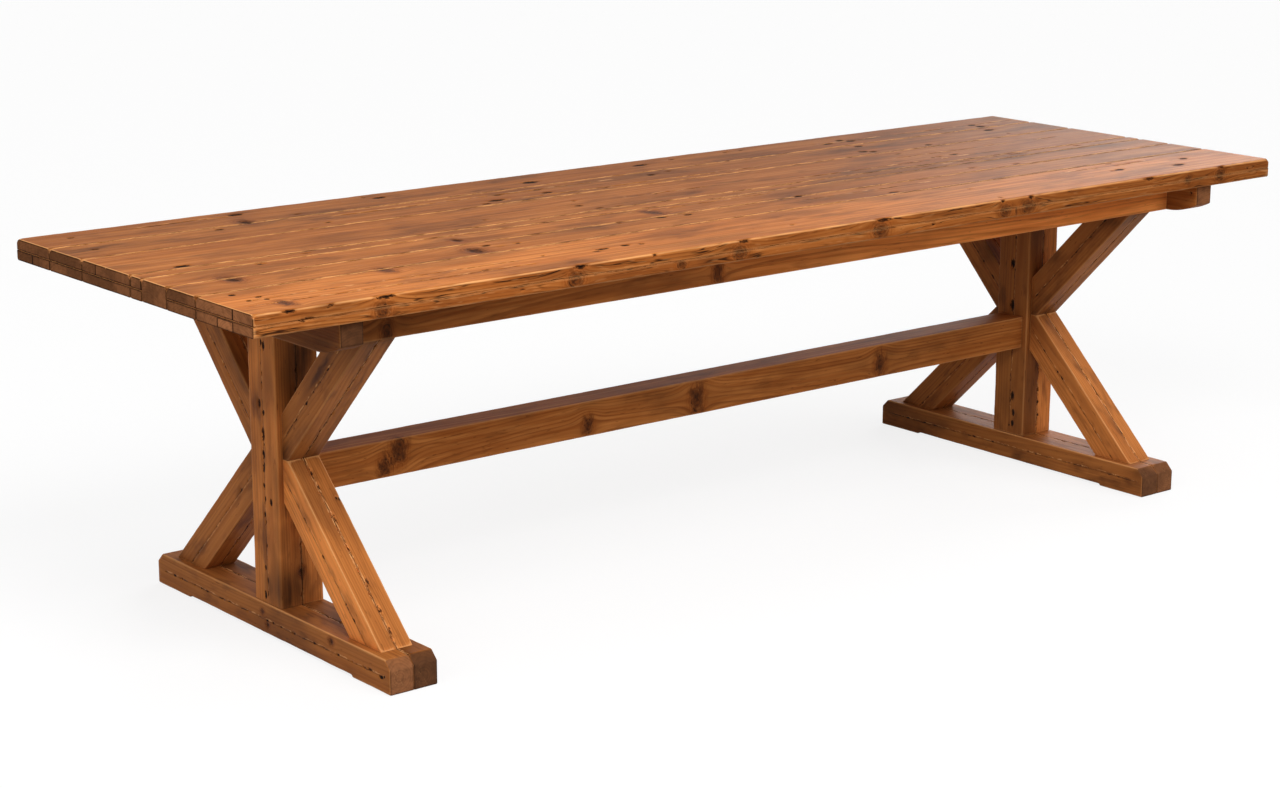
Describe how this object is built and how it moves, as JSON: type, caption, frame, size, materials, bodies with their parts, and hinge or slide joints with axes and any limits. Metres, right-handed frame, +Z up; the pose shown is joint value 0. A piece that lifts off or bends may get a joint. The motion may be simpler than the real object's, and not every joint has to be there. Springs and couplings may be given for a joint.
{
  "type": "sawbuck table",
  "caption": "Long dining table with a boarded top on two V-braced trestles that a stretcher ties together.",
  "frame": {"origin": "on the floor, under the middle of the top", "axes": "+X along the table, +Y across it towards the back, +Z up; the table is the same both ways round"},
  "size_m": [2.75, 0.89, 0.76],
  "materials": {
    "top_boards": "honey-brown stained and waxed softwood, worn arrises, satin",
    "trestle_timbers": "warm brown stained softwood, checks and worm holes, satin",
    "stretcher": "brown stained softwood with large knots, satin",
    "rails": "brown stained softwood, satin",
    "dowels": "plain turned hardwood",
    "screws": "zinc-plated"
  },
  "bodies": {
    "root": {"apron_screws": "screws", "back_apron": "rails", "bearer_screws": "screws", "front_apron": "rails", "head_beam_screws": "screws", "left_bearer": "rails", "left_foot_dowels": "dowels", "left_foot_inner": "trestle_timbers", "left_foot_outer": "trestle_timbers", "left_head_dowels": "dowels", "left_head_inner": "rails", "left_head_outer": "rails", "left_lower_back_brace_inner": "trestle_timbers", "left_lower_back_brace_outer": "trestle_timbers", "left_lower_front_brace_inner": "trestle_timbers", "left_lower_front_brace_outer": "trestle_timbers", "left_post_dowels": "dowels", "left_post_inner": "trestle_timbers", "left_post_outer": "trestle_timbers", "left_upper_back_brace_inner": "trestle_timbers", "left_upper_back_brace_outer": "trestle_timbers", "left_upper_front_brace_inner": "trestle_timbers", "left_upper_front_brace_outer": "trestle_timbers", "right_bearer": "rails", "right_foot_dowels": "dowels", "right_foot_inner": "trestle_timbers", "right_foot_outer": "trestle_timbers", "right_head_dowels": "dowels", "right_head_inner": "rails", "right_head_outer": "rails", "right_lower_back_brace_inner": "trestle_timbers", "right_lower_back_brace_outer": "trestle_timbers", "right_lower_front_brace_inner": "trestle_timbers", "right_lower_front_brace_outer": "trestle_timbers", "right_post_dowels": "dowels", "right_post_inner": "trestle_timbers", "right_post_outer": "trestle_timbers", "right_upper_back_brace_inner": "trestle_timbers", "right_upper_back_brace_outer": "trestle_timbers", "right_upper_front_brace_inner": "trestle_timbers", "right_upper_front_brace_outer": "trestle_timbers", "stretcher": "stretcher", "top_board_1_lower": "top_boards", "top_board_1_upper": "top_boards", "top_board_2_lower": "top_boards", "top_board_2_upper": "top_boards", "top_board_3_lower": "top_boards", "top_board_3_upper": "top_boards", "top_board_4_lower": "top_boards", "top_board_4_upper": "top_boards", "top_board_5": "top_boards", "top_board_6_lower": "top_boards", "top_board_6_upper": "top_boards", "top_board_7_lower": "top_boards", "top_board_7_upper": "top_boards"}
  },
  "joints": []
}
